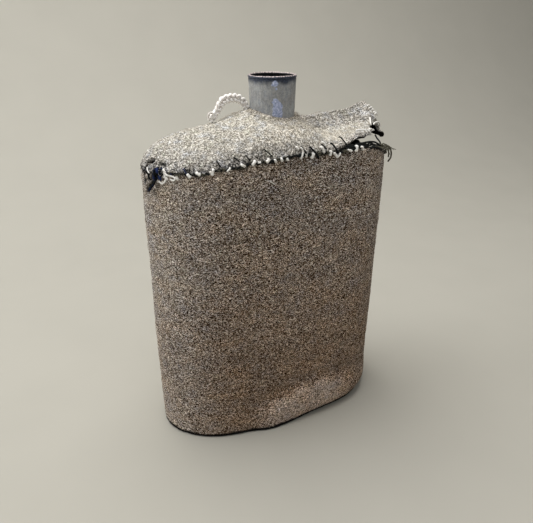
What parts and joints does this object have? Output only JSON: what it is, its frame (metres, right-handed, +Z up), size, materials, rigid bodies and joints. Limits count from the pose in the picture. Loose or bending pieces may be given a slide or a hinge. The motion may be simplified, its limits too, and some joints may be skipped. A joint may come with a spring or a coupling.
{
  "type": "water bottle",
  "caption": "Kidney-section sheet-steel water bottle with a short open neck, in a hand-stitched felt cover with a swinging cord loop beside the neck.",
  "frame": {"origin": "on the floor, in the base panel's flat underside, directly below the middle of the neck", "axes": "+Z up along the neck, -Y towards the convex front, +X to the right of someone looking at the front"},
  "size_m": [0.1631, 0.0727, 0.2143],
  "materials": {
    "enamelled_steel": "dull, weathered enamel",
    "wall_felt": "thick brown wool felt, salt and pepper",
    "top_felt": "thick wool felt, sun-bleached",
    "white_cotton": "twisted cotton thread",
    "dark_cotton": "twisted cotton thread",
    "cord_cotton": "plaited cotton cord"
  },
  "bodies": {
    "bottle": {"flask_wall": "enamelled_steel", "flask_base_pan": "enamelled_steel", "flask_shoulder": "enamelled_steel", "neck_tube": "enamelled_steel", "cover_wall_panel": "wall_felt", "cover_top_panel": "top_felt", "cover_base_panel": "wall_felt", "front_seam_white_thread": "white_cotton", "front_seam_dark_thread": "dark_cotton", "back_shoulder_thread": "white_cotton", "back_seam_thread": "white_cotton", "base_seam_thread": "white_cotton", "left_corner_darn": "dark_cotton", "left_corner_white_thread": "white_cotton", "right_flap_thread": "white_cotton", "right_corner_loose_thread": "dark_cotton", "right_corner_upright_thread": "dark_cotton"},
    "cord": {"cord_strand_a": "cord_cotton", "cord_strand_b": "cord_cotton", "cord_strand_c": "cord_cotton", "cord_eye": "cord_cotton", "cord_outer_whipping": "white_cotton", "cord_neck_whipping": "white_cotton"}
  },
  "joints": [
    {"name": "cord_swing", "type": "hinge", "parent": "bottle", "child": "cord", "pos_m": [-0.0336, 0.007, 0.1934], "axis": [0.9773, -0.1074, 0.1826], "range_deg": [-60, 60]}
  ]
}
